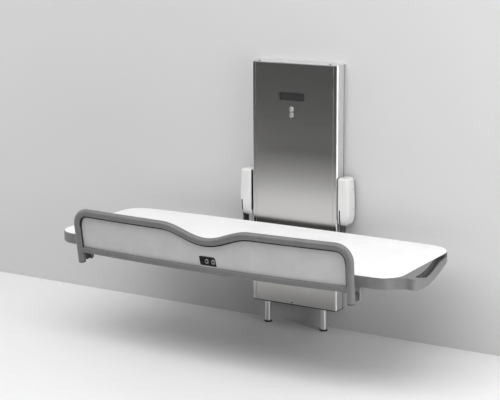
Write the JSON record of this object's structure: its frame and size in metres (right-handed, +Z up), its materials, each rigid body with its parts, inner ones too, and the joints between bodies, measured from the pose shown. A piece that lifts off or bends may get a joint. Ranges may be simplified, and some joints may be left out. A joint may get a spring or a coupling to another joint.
{
  "type": "adult changing station",
  "caption": "Wall-fastened adult changing station: motor-lift column with a fold-up bench and a swing-down guard rail.",
  "frame": {"origin": "middle of the wall plate's rear face, 0.660 m above the floor", "axes": "+X along the bench to the right seen from the front, +Y into the wall, +Z up"},
  "size_m": [1.7464, 0.8406, 1.222],
  "materials": {
    "stainless_panel": "vertical brushed stainless",
    "aluminium_trim": "satin anodised",
    "zinc_plate": "zinc plated",
    "bright_steel": "polished",
    "machined_steel": "bright turned",
    "black_plastic": "fine texture",
    "bronze": "turned bronze",
    "white_cover": "satin moulded",
    "white_platform": "smooth white laminate",
    "grey_moulding": "fine moulded texture",
    "grey_painted_steel": "satin powder coat",
    "grey_coated_tube": "satin grey powder coat",
    "pale_infill": "satin sheet"
  },
  "bodies": {
    "column": {"wall_plate": "zinc_plate", "left_side_profile": "aluminium_trim", "right_side_profile": "aluminium_trim", "front_panel": "stainless_panel", "top_cap": "aluminium_trim", "bottom_cap": "aluminium_trim", "left_leg_tube": "stainless_panel", "right_leg_tube": "stainless_panel", "left_foot_cap": "black_plastic", "right_foot_cap": "black_plastic", "left_guide_rod": "bright_steel", "right_guide_rod": "bright_steel", "top_crossmember": "zinc_plate", "bottom_crossmember": "zinc_plate", "screw_bearing": "machined_steel", "drive_motor": "black_plastic", "control_box": "black_plastic", "upper_button_bezel": "bright_steel", "lower_button_bezel": "bright_steel"},
    "carriage": {"carriage_plate": "zinc_plate", "left_bearing_block": "black_plastic", "right_bearing_block": "black_plastic", "lift_nut": "bronze", "left_hinge_bracket": "zinc_plate", "right_hinge_bracket": "zinc_plate", "left_pivot_pin": "machined_steel", "right_pivot_pin": "machined_steel", "left_torsion_spring": "machined_steel", "right_torsion_spring": "machined_steel", "left_cover": "white_cover", "right_cover": "white_cover"},
    "bench": {"left_support_arm": "grey_painted_steel", "right_support_arm": "grey_painted_steel", "left_pivot_bush": "bronze", "right_pivot_bush": "bronze", "rear_cross_tube": "aluminium_trim", "front_cross_tube": "aluminium_trim", "platform_top": "white_platform", "front_rim": "grey_moulding", "rear_rim": "grey_moulding", "left_end_moulding": "grey_moulding", "right_end_handle": "grey_moulding", "control_panel": "black_plastic", "left_rail_bracket": "grey_painted_steel", "right_rail_bracket": "grey_painted_steel", "left_rail_pin": "machined_steel", "right_rail_pin": "machined_steel"},
    "rail": {"rail_hoop": "grey_coated_tube", "rail_panel": "pale_infill", "rail_lower_bar": "grey_coated_tube", "left_rail_lug": "grey_coated_tube", "right_rail_lug": "grey_coated_tube", "left_leg_plug": "black_plastic", "right_leg_plug": "black_plastic"},
    "lead_screw": {"lead_screw": "machined_steel"},
    "upper_column_button": {"upper_column_button": "bright_steel"},
    "lower_column_button": {"lower_column_button": "bright_steel"},
    "raise_button": {"raise_button": "bright_steel"},
    "lower_button": {"lower_button": "bright_steel"}
  },
  "joints": [
    {"name": "lift", "type": "slide", "parent": "column", "child": "carriage", "axis": [0, 0, 1], "range_m": [-0.15, 0.51]},
    {"name": "screw_turn", "type": "hinge", "parent": "column", "child": "lead_screw", "pos_m": [0, -0.036, 0], "axis": [0, 0, 1], "range_deg": [-4530, 15330]},
    {"name": "bench_fold", "type": "hinge", "parent": "carriage", "child": "bench", "pos_m": [0, -0.045, -0.108], "axis": [-1, 0, 0], "range_deg": [0, 85]},
    {"name": "rail_swing", "type": "hinge", "parent": "bench", "child": "rail", "pos_m": [0, -0.72, -0.2615], "axis": [1, 0, 0], "range_deg": [0, 173]},
    {"name": "upper_column_button_push", "type": "slide", "parent": "column", "child": "upper_column_button", "axis": [0, 1, 0], "range_m": [0, 0.002], "stiffness_N_per_m": 400, "springref_m": -0.002},
    {"name": "lower_column_button_push", "type": "slide", "parent": "column", "child": "lower_column_button", "axis": [0, 1, 0], "range_m": [0, 0.002], "stiffness_N_per_m": 400, "springref_m": -0.002},
    {"name": "raise_button_push", "type": "slide", "parent": "bench", "child": "raise_button", "axis": [0, 1, 0], "range_m": [0, 0.002], "stiffness_N_per_m": 400, "springref_m": -0.002},
    {"name": "lower_button_push", "type": "slide", "parent": "bench", "child": "lower_button", "axis": [0, 1, 0], "range_m": [0, 0.002], "stiffness_N_per_m": 400, "springref_m": -0.002}
  ],
  "couplings": [
    {"joint": "screw_turn", "follows": "lift", "rad_per_m": 523.6}
  ]
}
